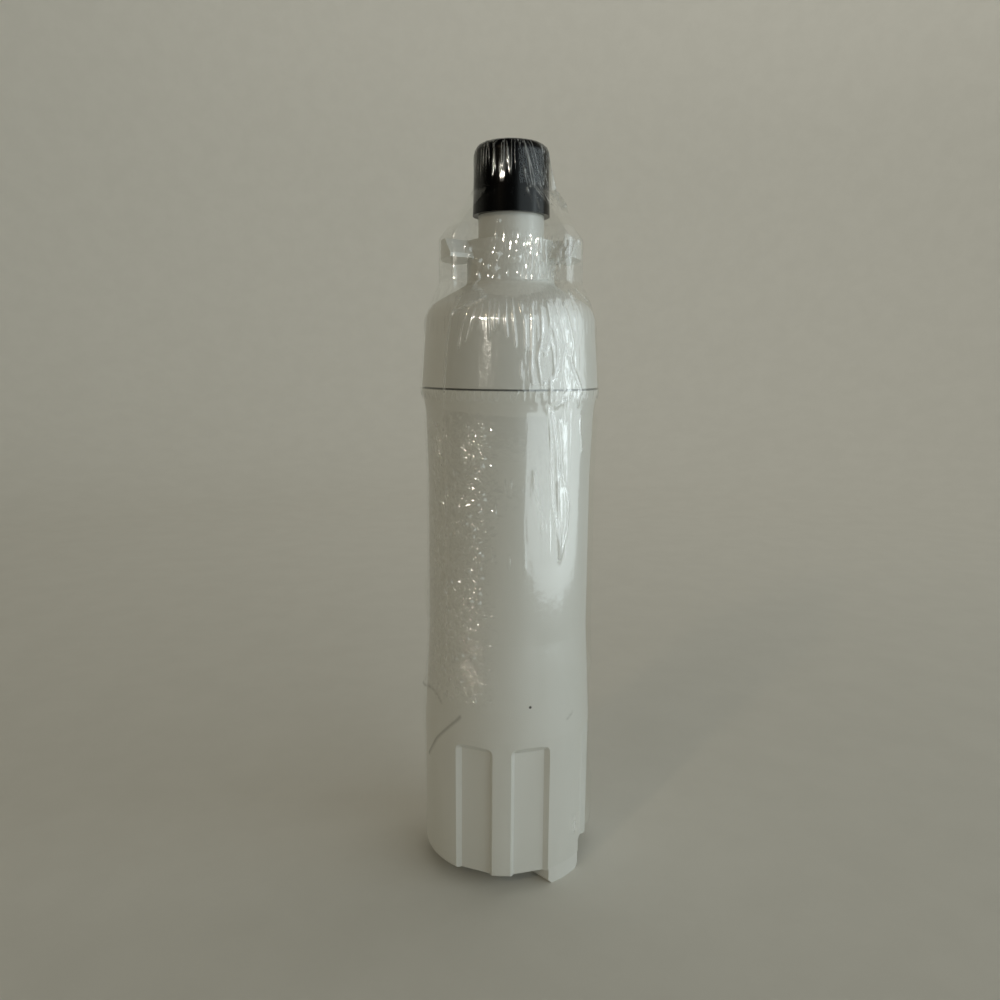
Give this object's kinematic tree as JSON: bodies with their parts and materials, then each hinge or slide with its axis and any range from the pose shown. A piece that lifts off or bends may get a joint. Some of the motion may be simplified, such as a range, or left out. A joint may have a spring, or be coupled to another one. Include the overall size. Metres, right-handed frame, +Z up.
{
  "type": "fridge water filter cartridge",
  "caption": "Slim upright water filter cartridge with a twist-lock head, fluted grip, black nozzle cap and clear shrink film.",
  "frame": {"origin": "on the cartridge's axis, on the table that the bar under its base stands on", "axes": "+Z up along the cartridge's axis to the nozzle, -Y towards the viewer of the picture, X through the two lugs"},
  "size_m": [0.0562, 0.0562, 0.2281],
  "materials": {
    "white_plastic": "smooth moulded white plastic with a soft sheen",
    "black_plastic": "smooth moulded black plastic",
    "seal_rubber": "matt black rubber",
    "carbon": "matt pressed carbon",
    "filter_fleece": "white non-woven fleece",
    "end_cap_plastic": "plain moulded plastic",
    "clear_film": "clear glossy heat-shrunk film with fine wrinkles"
  },
  "bodies": {
    "root": {"housing": "white_plastic", "head": "white_plastic", "protective_cap": "black_plastic", "nozzle_o_ring_lower": "seal_rubber", "nozzle_o_ring_upper": "seal_rubber", "spigot_o_ring": "seal_rubber", "carbon_block": "carbon", "prefilter_wrap": "filter_fleece", "bottom_end_cap": "end_cap_plastic", "top_end_cap": "end_cap_plastic", "shrink_film": "clear_film"}
  },
  "joints": []
}
